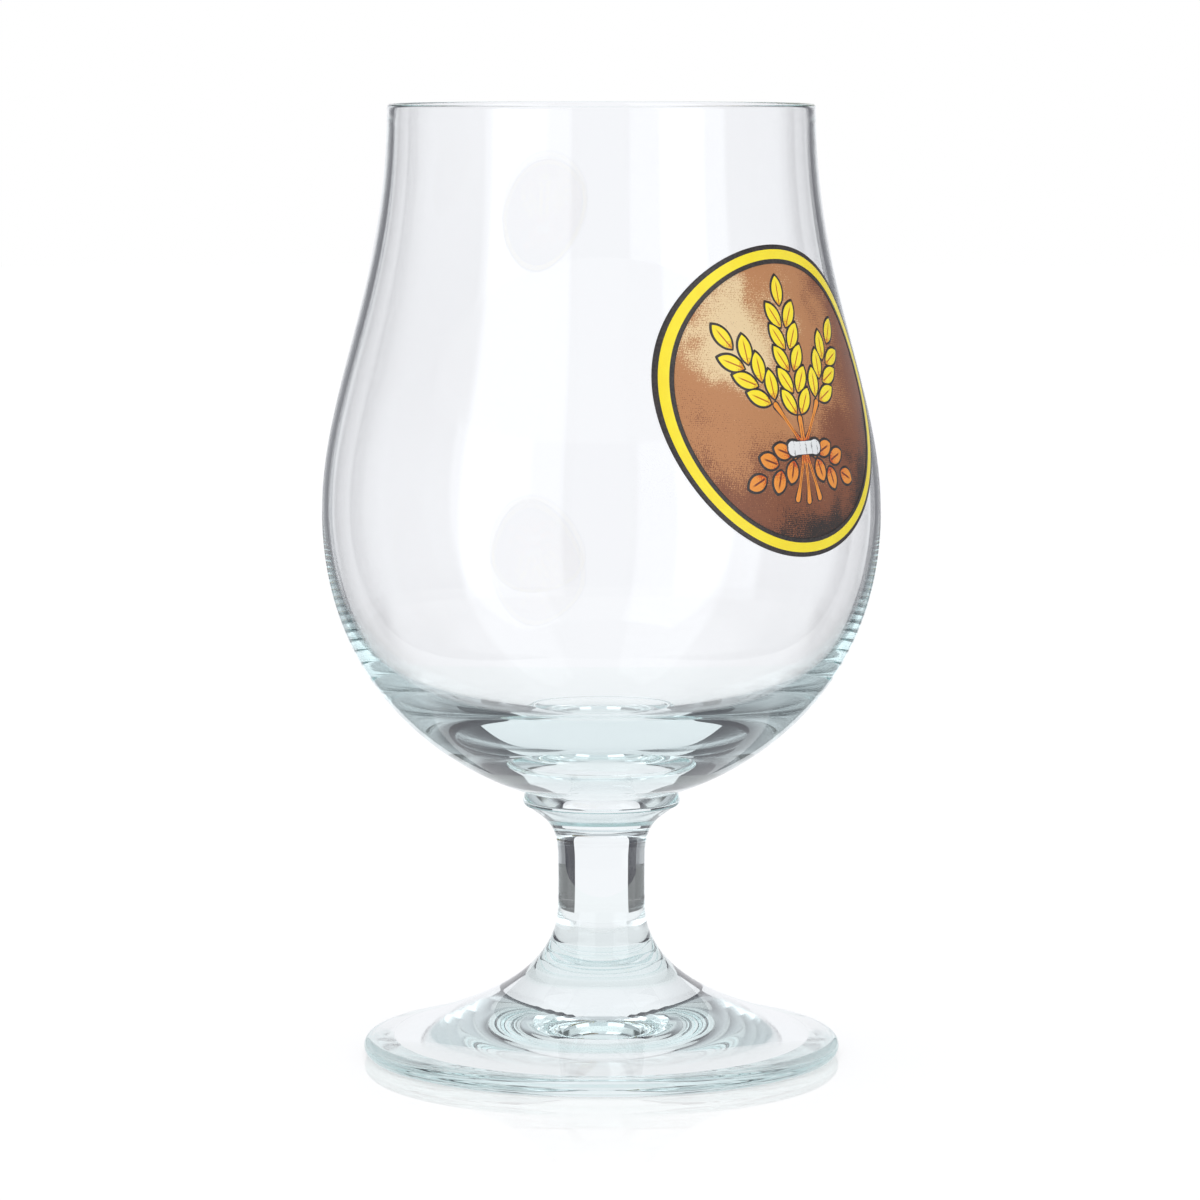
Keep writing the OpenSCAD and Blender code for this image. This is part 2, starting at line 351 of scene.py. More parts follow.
# %% Dabs and rings of enamel
def dab(outline, length, place, low, root, tip, rows=7, edge=16):
    """Rows at turn t from 0 to 180 degrees: the outline shrunk to sin(t) about its middle. In the first half
    the top stands root + (tip - root) y / length high, times the root of 1 - sin(t)^edge. The second half is
    flat at the height low. The place (a, b) moves a point z to a z + b."""
    t = np.linspace(0, np.pi, 2 * rows + 1)
    share = np.sin(t)[:, None]
    middle = outline.mean()
    flat = middle + share * (outline - middle)
    rise = np.where(t[:, None] < np.pi / 2, np.sqrt(np.clip(1 - share ** edge, 0, 1)), 0)
    lift = low + (root + (tip - root) * flat.imag / length - low) * rise
    a, b = place
    grid = on_bowl(a * flat + b, lift)
    marks = np.stack([flat.imag / length, flat.real / np.abs(outline.real).max()], -1)
    verts = np.vstack([grid[1:-1].reshape(-1, 3), grid[0, :1], grid[-1, :1]])
    marks = np.vstack([marks[1:-1].reshape(-1, 2), marks[0, :1], marks[-1, :1]])
    return verts, capped_grid(grid.shape[0] - 2, grid.shape[1], flip=True), marks


def hoop(outer, inner, low, high, edge, turns=192, steps=12):
    """A closed ring. Round its section the width runs with the cosine of t. Its top stands high, times the
    root of 1 - cos(t)^edge, and its underside lies at the height low."""
    t = np.linspace(0, 2 * np.pi, 2 * steps, endpoint=False)[:, None]
    across = np.cos(t)
    rise = np.where(np.sin(t) > 1e-9, np.sqrt(np.clip(1 - across ** edge, 0, 1)), 0)
    flat = ((outer + inner) / 2 + across * (outer - inner) / 2) * round_spot(1, turns)[None, :]
    grid = on_bowl(flat, low + (high - low) * rise + 0 * flat.real)
    i, j = np.meshgrid(np.arange(2 * steps), np.arange(turns), indexing="ij")
    m, k = (i + 1) % (2 * steps), (j + 1) % turns
    quads = np.stack([i * turns + j, i * turns + k, m * turns + k, m * turns + j], -1).reshape(-1, 4)
    marks = np.stack([np.ones(grid.shape[:2]), across + 0 * flat.real], -1)
    return grid.reshape(-1, 3), quads.tolist(), marks.reshape(-1, 2)


def enamel_piece(name, parts):
    """One mesh of several dabs. The attributes along and across run over each figure."""
    verts, faces, marks = [], [], []
    count = 0
    for part_verts, part_faces, part_marks in parts:
        verts.append(part_verts)
        marks.append(part_marks)
        faces += [[v + count for v in face] for face in part_faces]
        count += len(part_verts)
    verts, marks = np.vstack(verts), np.vstack(marks)
    mesh = bpy.data.meshes.new(name)
    mesh.from_pydata(verts.tolist(), [], faces)
    for column, mark in enumerate(("along", "across")):
        mesh.attributes.new(mark, "FLOAT", "POINT").data.foreach_set("value", marks[:, column].copy())
    mesh.polygons.foreach_set("use_smooth", np.ones(len(mesh.polygons), bool))
    piece = bpy.data.objects.new(name, mesh)
    bpy.context.scene.collection.objects.link(piece)
    print(name, "parts:", len(parts), "faces:", len(mesh.polygons))
    return piece


# %% [markdown]
# The ears and the cones are the same plan: pairs that lean out on both sides of a line, and one more on
# top.

# %% Where each figure lies
def turn_of(degrees):
    return np.exp(1j * math.radians(degrees))


def spike(pairs, start, step, tilt, lean):
    """The places up one ear or cone, as shares of the field. Each is a turn a and a root b."""
    line = turn_of(lean)
    places = []
    for i in range(pairs):
        for side in (-1, 1):
            root = side * PAIR_GAP + 1j * (start + i * step)
            places.append((line * turn_of(-side * tilt), TIE + line * FIELD_R * root))
    return places + [(line, TIE + line * 1j * FIELD_R * (start + pairs * step))]


PAIR_GAP = 0.022
GRAIN_STEP, GRAIN_TILT = 0.158, 32
SCALE_STEP, SCALE_TILT = 0.15, 46
MIDDLE_START, OUTER_START, HOP_START = 0.24, 0.42, 0.15
MIDDLE_PAIRS, OUTER_PAIRS, HOP_PAIRS = 5, 3, 2
EAR_LEAN, HOP_LEAN, TAIL_LEAN = 35, 116, 18
TAIL_L = 0.42
grains = spike(MIDDLE_PAIRS, MIDDLE_START, GRAIN_STEP, GRAIN_TILT, 0)
for lean in (-EAR_LEAN, EAR_LEAN):
    grains += spike(OUTER_PAIRS, OUTER_START, GRAIN_STEP, GRAIN_TILT, lean)
scales = []
for lean in (HOP_LEAN, -HOP_LEAN):
    scales += spike(HOP_PAIRS, HOP_START, SCALE_STEP, SCALE_TILT, lean)
stalks = {0: MIDDLE_START, EAR_LEAN: OUTER_START, -EAR_LEAN: OUTER_START,
          180 - TAIL_LEAN: TAIL_L, 180: TAIL_L, 180 + TAIL_LEAN: TAIL_L,
          HOP_LEAN: HOP_START, -HOP_LEAN: HOP_START}
GRAIN_L, GRAIN_W = 0.23 * FIELD_R, 0.115 * FIELD_R
SCALE_L, SCALE_W = 0.18 * FIELD_R, 0.12 * FIELD_R
STALK_W = 0.045 * FIELD_R
RIBBON_W, RIBBON_H = 0.26 * FIELD_R, 0.12 * FIELD_R
ribbon_place = (-1j, TIE - (RIBBON_W + RIBBON_H) / 2)

# %% The enamel layers
UNDER_FIELD, UNDER_BLACK, UNDER_COLOUR = -0.010 * MM, -0.015 * MM, -0.020 * MM
FIELD_TOP, STALK_TOP, ROOT_TOP, TIP_TOP = 0.025 * MM, 0.055 * MM, 0.065 * MM, 0.115 * MM
INK_DROP = 0.022 * MM
FIELD_LAP = 0.1 * MM


def figures(grow, low, drop):
    """The barley, the hops, the stalks and the ribbon, each outline grown by grow and its top drop lower."""
    barley = [dab(almond(GRAIN_L, GRAIN_W, grow), GRAIN_L, place, low, ROOT_TOP - drop, TIP_TOP - drop)
              for place in grains]
    hops = [dab(almond(SCALE_L, SCALE_W, grow), SCALE_L, place, low, ROOT_TOP - drop, TIP_TOP - drop)
            for place in scales]
    stems = [dab(capsule(share * FIELD_R, STALK_W, grow), share * FIELD_R, (turn_of(lean), TIE), low,
                 STALK_TOP - drop, STALK_TOP - drop) for lean, share in stalks.items()]
    band = [dab(capsule(RIBBON_W + RIBBON_H, RIBBON_H, grow), RIBBON_W + RIBBON_H, ribbon_place, low,
                TIP_TOP - drop, TIP_TOP - drop)]
    return barley, hops, stems, band


barley, hops, stems, band = figures(0, UNDER_COLOUR, 0)
gold_ring = hoop(GOLD_R, INNER_LINE_R, UNDER_COLOUR, TIP_TOP, HOOP_EDGE)
black_ring = hoop(ROUNDEL_R, FIELD_R, UNDER_BLACK, TIP_TOP - INK_DROP, LINE_EDGE)
field = dab(round_spot(FIELD_R + FIELD_LAP), FIELD_R, (1, 0), UNDER_FIELD, FIELD_TOP, FIELD_TOP,
            rows=26, edge=FIELD_EDGE)
gold = enamel_piece("gold_enamel_print", [gold_ring] + barley)
orange = enamel_piece("orange_enamel_print", hops + stems)
ribbon = enamel_piece("white_enamel_ribbon", band)
brown = enamel_piece("brown_enamel_field", [field])
black = enamel_piece("black_enamel_lines", [black_ring] + sum(figures(LINE_W, UNDER_BLACK, INK_DROP), []))

# %% [markdown]
# ## Materials
#
# Every material, and the world too, is a tree of nodes. A few helpers keep the recipes short.

# %% Small helpers for nodes
def add(tree, kind, values=(), **settings):
    """A node of this kind, with its settings, and with values on its inputs by number or by name."""
    made = tree.nodes.new(kind)
    for key, value in settings.items():
        setattr(made, key, value)
    for key, value in dict(values).items():
        made.inputs[key].default_value = value
    return made


def calc(tree, operation, *terms):
    """One Math node. Each term is a number or another node's output."""
    made = add(tree, "ShaderNodeMath", operation=operation)
    for socket, term in zip(made.inputs, terms):
        if isinstance(term, (int, float)):
            socket.default_value = term
        else:
            tree.links.new(term, socket)
    return made.outputs[0]


def ramp(tree, value, start, end, low, high):
    """A smooth step from low at start to high at end."""
    spans = {"From Min": start, "From Max": end, "To Min": low, "To Max": high}
    made = add(tree, "ShaderNodeMapRange", spans, interpolation_type="SMOOTHSTEP")
    tree.links.new(value, made.inputs["Value"])
    return made.outputs["Result"]


def mark(tree, name):
    """The value that the mesh carries under this name."""
    return add(tree, "ShaderNodeAttribute", attribute_name=name).outputs["Fac"]


def layered(tree, mask, a, b):
    """The shader a where the mask is 0 and b where it is 1."""
    made = add(tree, "ShaderNodeMixShader")
    for socket, term in zip(made.inputs, (mask, a, b)):
        tree.links.new(term, socket)
    return made.outputs[0]


def blank_material(name):
    """A material with an empty tree, and the tree."""
    mat = bpy.data.materials.new(name)
    mat.use_nodes = True
    mat.node_tree.nodes.clear()
    return mat, mat.node_tree


def surface(tree, shader):
    """Makes this shader the material's surface."""
    out = add(tree, "ShaderNodeOutputMaterial")
    tree.links.new(shader, out.inputs["Surface"])
    return out


# %% [markdown]
# ## Glass
#
# Soda-lime glass bends light by 1.52. It is very slightly green-blue, which shows only where light runs a
# long way inside, at the foot's edge and in the base, so the tint belongs to the volume and not to the
# surface.

# %% The glass
BEND = 1.52
GLASS_TINT = (0.79, 0.9, 0.9)
BLOWN_DEPTH, DRAWN_DEPTH, PRESSED_DEPTH = 0.07, 0.06, 0.07


def glass(name, depth):
    """Clear glass whose volume takes away what the tint lacks, at a density of one over depth. A fused face
    has the index 1, so it bends nothing."""
    mat, tree = blank_material(name)
    clear = {"Base Color": (1, 1, 1, 1), "Roughness": 0, "Transmission Weight": 1}
    p = add(tree, "ShaderNodeBsdfPrincipled", clear)
    bend = calc(tree, "MULTIPLY_ADD", mark(tree, "fused"), 1 - BEND, BEND)
    tree.links.new(bend, p.inputs["IOR"])
    volume = add(tree, "ShaderNodeVolumeAbsorption", {"Color": (*GLASS_TINT, 1), "Density": 1 / depth})
    tree.links.new(volume.outputs[0], surface(tree, p.outputs[0]).inputs["Volume"])
    return mat


blown = glass("blown_glass", BLOWN_DEPTH)
drawn = glass("drawn_glass", DRAWN_DEPTH)
pressed = glass("pressed_glass", PRESSED_DEPTH)
for piece, node, slot, material in (
        (bowl, "bowl", "bowl_glass", blown), (collar, "collar", "stem_glass", drawn),
        (stem, "stem", "stem_glass", drawn), (foot, "foot", "foot_glass", pressed)):
    piece.data.materials.append(material)
    piece.visible_shadow = piece is foot
    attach(piece, "root")
    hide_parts(node)
    print(piece.name, "replaces", node)

# %% [markdown]
# ## Enamel
#
# The enamels are printed through a screen, so a shade is a scatter of fine dots and not a smooth blend.
# Every layer has the same slight orange peel. Two effects are made once, as groups: the screen's dots, which
# return a mask, and the orange peel, which returns a normal. All five materials take the peel, and all but
# the black take the dots.

# %% The screen's dots
def group(name, inputs, outputs):
    """An empty node group with these named float inputs and outputs."""
    tree = bpy.data.node_groups.new(name, "ShaderNodeTree")
    for title, value in inputs.items():
        tree.interface.new_socket(title, in_out="INPUT", socket_type="NodeSocketFloat").default_value = value
    for title, kind in outputs.items():
        tree.interface.new_socket(title, in_out="OUTPUT", socket_type=kind)
    return tree, tree.nodes.new("NodeGroupInput"), tree.nodes.new("NodeGroupOutput")


def dot(tree, vector, direction):
    """How far a point lies along a fixed direction, in millimetres."""
    made = add(tree, "ShaderNodeVectorMath", {1: tuple(direction / MM)}, operation="DOT_PRODUCT")
    tree.links.new(vector, made.inputs[0])
    return made.outputs["Value"]


SCREEN_DEPTH = 0.22
SPECK_SCALE, SPECK_DEPTH = 5200, 1.1
DOT_FROM, DOT_TO = 0.36, 0.64
screen, given, result = group("screen_dots", {"Shade": 0.5, "Pitch": 0.5}, {"Mask": "NodeSocketFloat"})
place = add(screen, "ShaderNodeTexCoord").outputs["Object"]
phase = calc(screen, "DIVIDE", 2 * math.pi, given.outputs["Pitch"])
across = calc(screen, "SINE", calc(screen, "MULTIPLY", dot(screen, place, ALONG + UP), phase))
upward = calc(screen, "SINE", calc(screen, "MULTIPLY", dot(screen, place, ALONG - UP), phase))
dots = calc(screen, "MULTIPLY", across, upward)
dots = calc(screen, "MULTIPLY_ADD", dots, SCREEN_DEPTH, given.outputs["Shade"])
speck = add(screen, "ShaderNodeTexNoise", {"Scale": SPECK_SCALE, "Detail": 1})
screen.links.new(place, speck.inputs["Vector"])
speck = calc(screen, "SUBTRACT", speck.outputs["Fac"], 0.5)
dots = calc(screen, "MULTIPLY_ADD", speck, SPECK_DEPTH, dots)
screen.links.new(ramp(screen, dots, DOT_FROM, DOT_TO, 0, 1), result.inputs["Mask"])

# %% The orange peel
PEEL_SCALE, PEEL_DEPTH = 900, 0.006
peel, given, result = group("orange_peel", {"Depth": PEEL_DEPTH}, {"Normal": "NodeSocketVector"})
waves = add(peel, "ShaderNodeTexNoise", {"Scale": PEEL_SCALE, "Detail": 2})
peel.links.new(add(peel, "ShaderNodeTexCoord").outputs["Object"], waves.inputs["Vector"])
bump = add(peel, "ShaderNodeBump", {"Strength": 1, "Distance": MM})
peel.links.new(calc(peel, "MULTIPLY", waves.outputs["Fac"], given.outputs["Depth"]), bump.inputs["Height"])
peel.links.new(bump.outputs["Normal"], result.inputs["Normal"])


# %% One enamel
def mix(tree, mask, a, b):
    """The colour a where the mask is 0 and b where it is 1. A colour is three numbers or another output."""
    made = add(tree, "ShaderNodeMix", data_type="RGBA")
    tree.links.new(mask, made.inputs["Factor"])
    for socket, colour in ((made.inputs[6], a), (made.inputs[7], b)):
        if isinstance(colour, tuple):
            socket.default_value = (*colour, 1)
        else:
            tree.links.new(colour, socket)
    return made.outputs[2]


def screened(tree, shade, pitch):
    """The mask of a screen that covers the given share, with its dots this far apart in millimetres."""
    made = add(tree, "ShaderNodeGroup", node_tree=screen)
    made.inputs["Pitch"].default_value = pitch
    tree.links.new(shade, made.inputs["Shade"])
    return made.outputs["Mask"]


CLOUD_FROM, CLOUD_TO = 0.3, 0.7


def cloud(tree, scale, low, high):
    """Soft noise spread between low and high."""
    made = add(tree, "ShaderNodeTexNoise", {"Scale": scale, "Detail": 3})
    tree.links.new(add(tree, "ShaderNodeTexCoord").outputs["Object"], made.inputs["Vector"])
    return ramp(tree, made.outputs["Fac"], CLOUD_FROM, CLOUD_TO, low, high)


def enamel(name, roughness, paint):
    """A fired enamel whose colour is what paint returns for its node tree."""
    mat, tree = blank_material(name)
    p = add(tree, "ShaderNodeBsdfPrincipled", {"Roughness": roughness})
    tree.links.new(paint(tree), p.inputs["Base Color"])
    skin = add(tree, "ShaderNodeGroup", node_tree=peel)
    tree.links.new(skin.outputs["Normal"], p.inputs["Normal"])
    surface(tree, p.outputs[0])
    return mat


# %% [markdown]
# The brown field is lit from the upper left, as a printer draws it: cream in the light, copper in the
# middle and nearly black at the lower right. Each of the three steps is one pass of the screen.

# %% The brown field
CREAM, COPPER = (0.82, 0.62, 0.36), (0.50, 0.22, 0.09)
UMBER, SOOT = (0.22, 0.07, 0.03), (0.02, 0.012, 0.01)
LIGHT_X, LIGHT_Y, LIGHT_REACH = -8, 9, 34
BLOTCH_SCALE, BLOTCH_DEPTH = 110, 0.1
PASSES = (
    dict(ink=COPPER, start=0.05, end=0.42, low=0.1, high=0.95, pitch=0.5),
    dict(ink=UMBER, start=0.3, end=0.8, low=0.05, high=0.9, pitch=0.55),
    dict(ink=SOOT, start=0.62, end=1.05, low=0, high=0.85, pitch=0.6),
)


def brown_paint(tree):
    """The shade grows with the distance from the lightest point, and each pass covers its own span of it."""
    place = add(tree, "ShaderNodeTexCoord").outputs["Object"]
    dx = calc(tree, "SUBTRACT", dot(tree, place, ALONG), LIGHT_X)
    dy = calc(tree, "SUBTRACT", dot(tree, place, UP), ROUNDEL_UP / MM + LIGHT_Y)
    far = calc(tree, "SQRT", calc(tree, "MULTIPLY_ADD", dx, dx, calc(tree, "MULTIPLY", dy, dy)))
    blotch = cloud(tree, BLOTCH_SCALE, -BLOTCH_DEPTH, BLOTCH_DEPTH)
    shade = calc(tree, "ADD", calc(tree, "DIVIDE", far, LIGHT_REACH), blotch)
    colour = CREAM
    for run in PASSES:
        cover = ramp(tree, shade, run["start"], run["end"], run["low"], run["high"])
        colour = mix(tree, screened(tree, cover, run["pitch"]), colour, run["ink"])
    return colour


# %% [markdown]
# Each grain and each scale is darker at its root and has a fine line along its middle.

# %% The other four enamels
LINE_SOFT = 1.6
LINE_START, LINE_END = (0.05, 0.15), (0.6, 0.85)
GOLD_LINE_W, ORANGE_LINE_W = 0.07, 0.09
FINE_PITCH, RIBBON_PITCH = 0.4, 0.3
ROOT_SCALE, AMBER_SCALE, CREASE_SCALE, WEAR_SCALE = 700, 300, 900, 2600
LEMON, AMBER = (1.0, 0.83, 0.03), (0.95, 0.66, 0.02)
GOLD_ROOT, GOLD_LINE = (0.72, 0.20, 0.02), (0.50, 0.14, 0.01)
ORANGE, ORANGE_ROOT, ORANGE_LINE = (0.86, 0.30, 0.04), (0.56, 0.06, 0.01), (0.16, 0.03, 0.01)
RIBBON_WHITE, RIBBON_GREY = (0.82, 0.83, 0.84), (0.30, 0.30, 0.31)
DEEP_BLACK, WORN_BLACK = (0.012, 0.010, 0.010), (0.075, 0.055, 0.05)
FOLDS = 38


def lined(tree, colour, line, width):
    """A fine line down the middle of each figure, from near its root to near its tip."""
    near = ramp(tree, calc(tree, "ABSOLUTE", mark(tree, "across")), width, width * LINE_SOFT, 1, 0)
    ends = calc(tree, "MULTIPLY", ramp(tree, mark(tree, "along"), *LINE_START, 0, 1),
                ramp(tree, mark(tree, "along"), *LINE_END, 1, 0))
    return mix(tree, calc(tree, "MULTIPLY", near, ends), colour, line)


def root_shade(tree, reach, at_root, beyond):
    """The mask of the dark root. Its cover goes from at_root to beyond over this share of the length."""
    along = ramp(tree, mark(tree, "along"), 0, reach, at_root, beyond)
    return screened(tree, calc(tree, "MULTIPLY", along, cloud(tree, ROOT_SCALE, 0.6, 1)), FINE_PITCH)


def gold_paint(tree):
    colour = mix(tree, cloud(tree, AMBER_SCALE, 0, 0.35), LEMON, AMBER)
    colour = mix(tree, root_shade(tree, 0.5, 0.75, 0), colour, GOLD_ROOT)
    return lined(tree, colour, GOLD_LINE, GOLD_LINE_W)


def orange_paint(tree):
    colour = mix(tree, root_shade(tree, 0.7, 0.8, 0.1), ORANGE, ORANGE_ROOT)
    return lined(tree, colour, ORANGE_LINE, ORANGE_LINE_W)


def white_paint(tree):
    fold = calc(tree, "SINE", calc(tree, "MULTIPLY", mark(tree, "along"), FOLDS))
    creases = calc(tree, "MULTIPLY", ramp(tree, fold, 0.3, 1, 0, 0.7), cloud(tree, CREASE_SCALE, 0.3, 1))
    return mix(tree, screened(tree, creases, RIBBON_PITCH), RIBBON_WHITE, RIBBON_GREY)


def black_paint(tree):
    return mix(tree, cloud(tree, WEAR_SCALE, 0, 0.5), DEEP_BLACK, WORN_BLACK)


for piece, node, slot, roughness, paint in (
        (gold, "print_gold", "gold_enamel", 0.24, gold_paint),
        (brown, "print_brown", "brown_enamel", 0.36, brown_paint),
        (orange, "print_orange", "orange_enamel", 0.26, orange_paint),
        (ribbon, "print_white", "white_enamel", 0.24, white_paint),
        (black, "print_black", "black_enamel", 0.3, black_paint)):
    piece.data.materials.append(enamel(slot, roughness, paint))
    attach(piece, "root")
    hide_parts(node)
    print(piece.name, "replaces", node)

# %% [markdown]
# ## The studio
#
# Glass is lit from behind. A bright board stands close behind it, so that the body of the glass is bright,
# and the dark on both sides of the board is what draws the outline and the two dark strips in the stem. The
# camera sees white all round. Only light that has been bent or thrown back by the glass meets the board,
# the cards and the dome.

# %% [markdown]
# The dome is the studio that the glass shows in its reflections and its bent edges. Two tall soft boxes
# stand beside the camera, with pale walls between and beside them. Behind the glass the room is dim, apart
# from two low fills and the white sweep that the polished table mirrors past the board. Each one is a
# window in azimuth and elevation with soft sides, painted on the world by the direction of the ray alone,
# so it stays where it is when the camera moves. Azimuth 90 is straight behind the glass, and -90 is the
# camera's side.

# %% The dome's soft boxes and walls
SHADE = (0.055, 0.05, 0.062)
WALL_TINT = (0.95, 1.0, 1.03)
SOFT_BOXES = {
    "white_sweep": dict(middle=90, half=9, low=3, high=15, edge=2, light=0.93),
    "left_fill": dict(middle=115, half=9, low=-12, high=8, edge=6, light=0.6),
    "right_fill": dict(middle=63, half=9, low=-12, high=8, edge=6, light=0.55),
    "left_box": dict(middle=-128, half=20, low=-91, high=60, edge=6, light=1.55),
    "right_box": dict(middle=-40, half=17, low=-91, high=60, edge=6, light=1.5),
    "front_wall": dict(middle=-84, half=30, low=-91, high=60, edge=8, light=0.78),
    "right_wall": dict(middle=-2, half=20, low=-91, high=12, edge=28, light=0.62),
    "left_wall": dict(middle=186, half=28, low=-91, high=3, edge=34, light=0.55),
    "back_wall": dict(middle=90, half=72, low=-16, high=18, edge=8, light=0.22),
    "ceiling": dict(middle=0, half=181, low=52, high=91, edge=12, light=0.52),
    "floor_beyond": dict(middle=0, half=181, low=-91, high=-20, edge=5, light=0.25),
}

world = bpy.data.worlds.new("studio")
world.use_nodes = True
bpy.context.scene.world = world
tree = world.node_tree
tree.nodes.clear()
ray = add(tree, "ShaderNodeSeparateXYZ")
tree.links.new(add(tree, "ShaderNodeTexCoord").outputs["Generated"], ray.inputs[0])
azimuth = calc(tree, "ARCTAN2", ray.outputs["Y"], ray.outputs["X"])
elevation = calc(tree, "ARCSINE", ray.outputs["Z"])
light = 0.0
for name, box in SOFT_BOXES.items():
    turn = calc(tree, "WRAP", calc(tree, "SUBTRACT", azimuth, math.radians(box["middle"])), math.pi, -math.pi)
    half, edge, low, high = (math.radians(box[key]) for key in ("half", "edge", "low", "high"))
    across = ramp(tree, calc(tree, "ABSOLUTE", turn), half, half + edge, 1, 0)
    over = ramp(tree, elevation, low - edge, low, 0, 1)
    under = ramp(tree, elevation, high, high + edge, 1, 0)
    window = calc(tree, "MULTIPLY", calc(tree, "MULTIPLY", across, over), under)
    light = calc(tree, "MAXIMUM", calc(tree, "MULTIPLY", window, box["light"]), light)
tint = add(tree, "ShaderNodeVectorMath", {1: WALL_TINT, 2: SHADE}, operation="MULTIPLY_ADD")
tree.links.new(light, tint.inputs[0])
dome = add(tree, "ShaderNodeBackground")
tree.links.new(tint.outputs[0], dome.inputs["Color"])

# %% What each kind of ray sees
AMBIENT = 0.72
path = add(tree, "ShaderNodeLightPath").outputs
plain = add(tree, "ShaderNodeBackground", {"Color": (1, 1, 1, 1), "Strength": AMBIENT})
white = add(tree, "ShaderNodeBackground", {"Color": (1, 1, 1, 1), "Strength": 1})
lit = layered(tree, path["Is Diffuse Ray"], dome.outputs[0], plain.outputs[0])
seen = layered(tree, path["Is Camera Ray"], lit, white.outputs[0])
tree.links.new(seen, add(tree, "ShaderNodeOutputWorld").inputs["Surface"])
print("soft boxes:", ", ".join(SOFT_BOXES))

# %% [markdown]
# The board behind the glass is real, because it stands so close that the stem shows its foot and its two
# sides. A black card stands on each side of it, in the same plane. The cards draw the thin dark outline of
# the bowl, and they are what the two dark strips in the stem show. Only light that has passed the glass
# meets them, so the polished table doesn't mirror them.

# %% Sheets and what may see them
def flat_sheet(name, corners, material, faces=None):
    """A sheet with one face round all its corners, or with the faces given."""
    mesh = bpy.data.meshes.new(name)
    mesh.from_pydata(corners, [], faces or [tuple(range(len(corners)))])
    mesh.materials.append(material)
    sheet = bpy.data.objects.new(name, mesh)
    bpy.context.scene.collection.objects.link(sheet)
    return sheet


def hide_from(thing, *rays):
    """Rays of these kinds pass as if the thing weren't there."""
    for kind in rays:
        setattr(thing, "visible_" + kind, False)


def glowing(name, colour):
    """A material that gives off this colour and throws nothing back."""
    mat, tree = blank_material(name)
    surface(tree, add(tree, "ShaderNodeEmission", {"Color": (*colour, 1), "Strength": 1}).outputs[0])
    return mat


# %% The board and the black cards
BOARD_BACK = 146 * MM
BOARD_HALF = 72.5 * MM
BOARD_TOP = 480 * MM
LEFT_CARD_END = -124 * MM
RIGHT_CARD_END = 142 * MM
BOARD_LIGHT = (0.945, 0.95, 0.978)
CARD_LIGHT = (0.045, 0.042, 0.055)


def upright(name, near, far, material):
    """A sheet in the board's plane, from x = near to x = far, that stands on the table."""
    corners = [(x, BOARD_BACK, z) for x, z in ((near, 0), (far, 0), (far, BOARD_TOP), (near, BOARD_TOP))]
    return flat_sheet(name, corners, material)


board = upright("back_board", -BOARD_HALF, BOARD_HALF, glowing("bright_board", BOARD_LIGHT))
hide_from(board, "camera", "diffuse", "shadow")
card_mat = glowing("black_card", CARD_LIGHT)
left_card = upright("left_card", -BOARD_HALF, LEFT_CARD_END, card_mat)
right_card = upright("right_card", BOARD_HALF, RIGHT_CARD_END, card_mat)
for card in (left_card, right_card):
    hide_from(card, "camera", "diffuse", "glossy", "shadow")

# %% [markdown]
# The table is real too, and it has two faces. The camera sees a white table with a faint shadow, which is
# polished near the foot, so that it mirrors the glass. Light that has passed the glass meets a painted glow
# instead, with painted light and shade in it: bright before the foot, painted shade a little darker beneath
# it, and the board's painted light and reflection behind it as far as the lines from the axis past the
# board's sides. Beyond those lines the table's corners are painted dark, as the shade and reflection of the
# black cards.

# %% The table's measures
TABLE_R = 206 * MM
TABLE_FAR = 3
TABLE_SIDES = 96
TABLE_ALBEDO = 0.35
TABLE_WHITE = 1.005
LAMP_UP = 1.6
LAMP_ON_TABLE = 0.13
POLISH, POLISH_FROM, POLISH_TO = 0.32, 34 * MM, 100 * MM
MIRROR_BLUR = 0.008
TABLE_TINT = (0.97, 1.0, 1.02)
# Levels of the painted glow that the glass shows of the table: painted light before the foot and from the
# board behind it, painted shade beneath the foot and in the corners.
FRONT_LIGHT, TABLE_LIGHT, BACK_LIGHT, PAINTED_CORNER_SHADE = 1.1, 0.84, 0.94, 0.17
FRONT_END, UNDER_FOOT_START = -60 * MM, -30 * MM
UNDER_FOOT_END, BACK_START = 15 * MM, 45 * MM
CORNER_EDGE = 1 * MM
CORNER_FROM, CORNER_TO = 74 * MM, 79 * MM

# %% What the camera sees of the table
table_mat, tree = blank_material("pale_table")
place = add(tree, "ShaderNodeTexCoord").outputs["Object"]
away = add(tree, "ShaderNodeVectorMath", operation="LENGTH")
tree.links.new(place, away.inputs[0])
away = away.outputs["Value"]
matt = add(tree, "ShaderNodeBsdfDiffuse", {"Color": (TABLE_ALBEDO, TABLE_ALBEDO, TABLE_ALBEDO, 1)})
reach = calc(tree, "DIVIDE", away, LAMP_UP)
lamp_share = calc(tree, "POWER", calc(tree, "MULTIPLY_ADD", reach, reach, 1), -2)
missing = calc(tree, "MULTIPLY_ADD", lamp_share, -LAMP_ON_TABLE, TABLE_WHITE - TABLE_ALBEDO * AMBIENT)
fill = add(tree, "ShaderNodeEmission", {"Color": (1, 1, 1, 1)})
tree.links.new(missing, fill.inputs["Strength"])
both = add(tree, "ShaderNodeAddShader")
tree.links.new(matt.outputs[0], both.inputs[0])
tree.links.new(fill.outputs[0], both.inputs[1])
mirror = add(tree, "ShaderNodeBsdfGlossy", {"Color": (1, 1, 1, 1), "Roughness": MIRROR_BLUR})
polish = ramp(tree, away, POLISH_FROM, POLISH_TO, POLISH, 0)
top = layered(tree, polish, both.outputs[0], mirror.outputs[0])
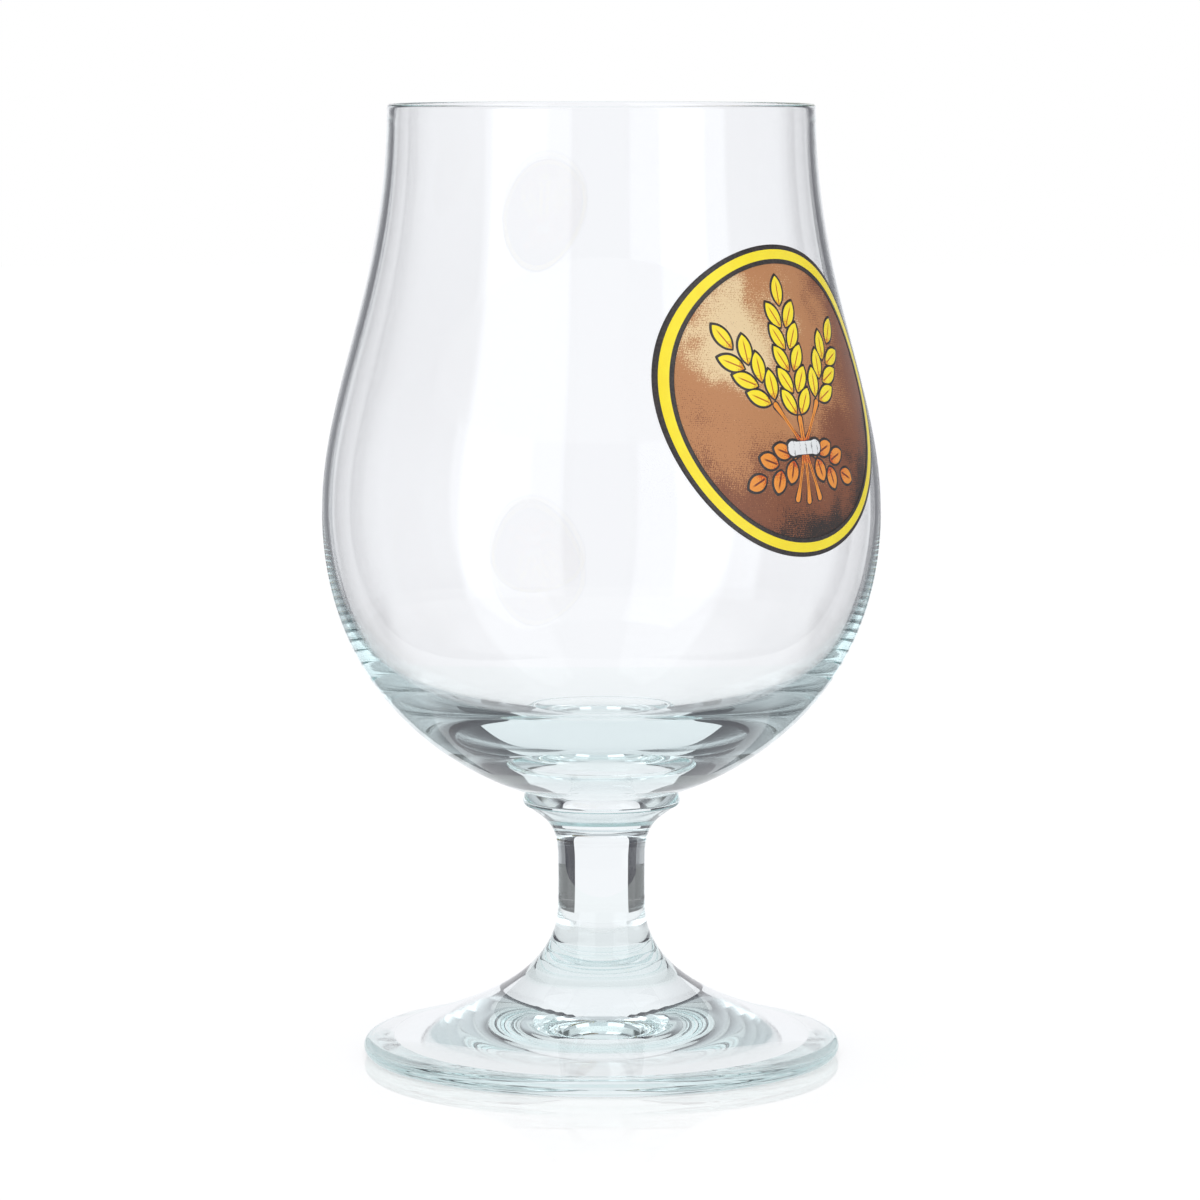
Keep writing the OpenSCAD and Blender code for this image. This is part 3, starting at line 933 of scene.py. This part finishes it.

# %% What the glass shows of the table: painted light and shade
spot = add(tree, "ShaderNodeSeparateXYZ")
tree.links.new(place, spot.inputs[0])
x, y = spot.outputs["X"], spot.outputs["Y"]
# Painted light and reflection of the board behind the foot, and painted shade and reflection of the black
# cards in the corners past the board's sides.
behind = ramp(tree, y, UNDER_FOOT_END, BACK_START, 0, 1)
past_board = calc(tree, "MULTIPLY_ADD", y, -BOARD_HALF / BOARD_BACK, calc(tree, "ABSOLUTE", x))
painted_card_shade = calc(tree, "MULTIPLY", behind, ramp(tree, past_board, -CORNER_EDGE, CORNER_EDGE, 0, 1))
painted_card_shade = calc(tree, "MULTIPLY", painted_card_shade, ramp(tree, away, CORNER_FROM, CORNER_TO, 0, 1))
painted_glow_level = ramp(tree, y, FRONT_END, UNDER_FOOT_START, FRONT_LIGHT, TABLE_LIGHT)
painted_glow_level = calc(tree, "MULTIPLY_ADD", behind, BACK_LIGHT - TABLE_LIGHT, painted_glow_level)
painted_glow_level = calc(tree, "MULTIPLY_ADD", painted_card_shade, PAINTED_CORNER_SHADE - BACK_LIGHT, painted_glow_level)
painted_table_glow = add(tree, "ShaderNodeEmission", {"Color": (*TABLE_TINT, 1)})
tree.links.new(painted_glow_level, painted_table_glow.inputs["Strength"])
is_camera = add(tree, "ShaderNodeLightPath").outputs["Is Camera Ray"]
surface(tree, layered(tree, is_camera, painted_table_glow.outputs[0], top))

# %% The table near and far
turns = np.linspace(0, 2 * np.pi, TABLE_SIDES, endpoint=False)
near_edge = [(TABLE_R * math.cos(a), TABLE_R * math.sin(a), 0) for a in turns]
far_edge = [(TABLE_FAR * math.cos(a), TABLE_FAR * math.sin(a), 0) for a in turns]
steps = [(i, (i + 1) % TABLE_SIDES) for i in range(TABLE_SIDES)]
rim_faces = [(i, TABLE_SIDES + i, TABLE_SIDES + k, k) for i, k in steps]
flat_sheet("table_near", near_edge, table_mat)
hide_from(flat_sheet("table_far", near_edge + far_edge, table_mat, rim_faces), "transmission", "glossy")

# %% The lamp overhead
LAMP_SIZE = 1.4
LAMP_WATTS = 14

lamp_data = bpy.data.lights.new("overhead", "AREA")
lamp_data.size = LAMP_SIZE
lamp_data.energy = LAMP_WATTS
lamp = bpy.data.objects.new("overhead", lamp_data)
lamp.location = (0, 0, LAMP_UP)
hide_from(lamp, "glossy", "transmission", "camera")
bpy.context.scene.collection.objects.link(lamp)
bpy.context.scene.view_settings.view_transform = "Standard"

# %% [markdown]
# Inside thick glass a ray is thrown back and forth many times before it gets out. With the usual few
# bounces it would be given up on the way and leave black patches in the base and the foot, and a comb of
# black teeth along the lower edge of the bowl, where light runs round inside the wall.

# %% Bounces
BOUNCES = 160
cycles = bpy.context.scene.cycles
cycles.max_bounces = BOUNCES
cycles.glossy_bounces = BOUNCES
cycles.transmission_bounces = BOUNCES
print("bounces:", BOUNCES)
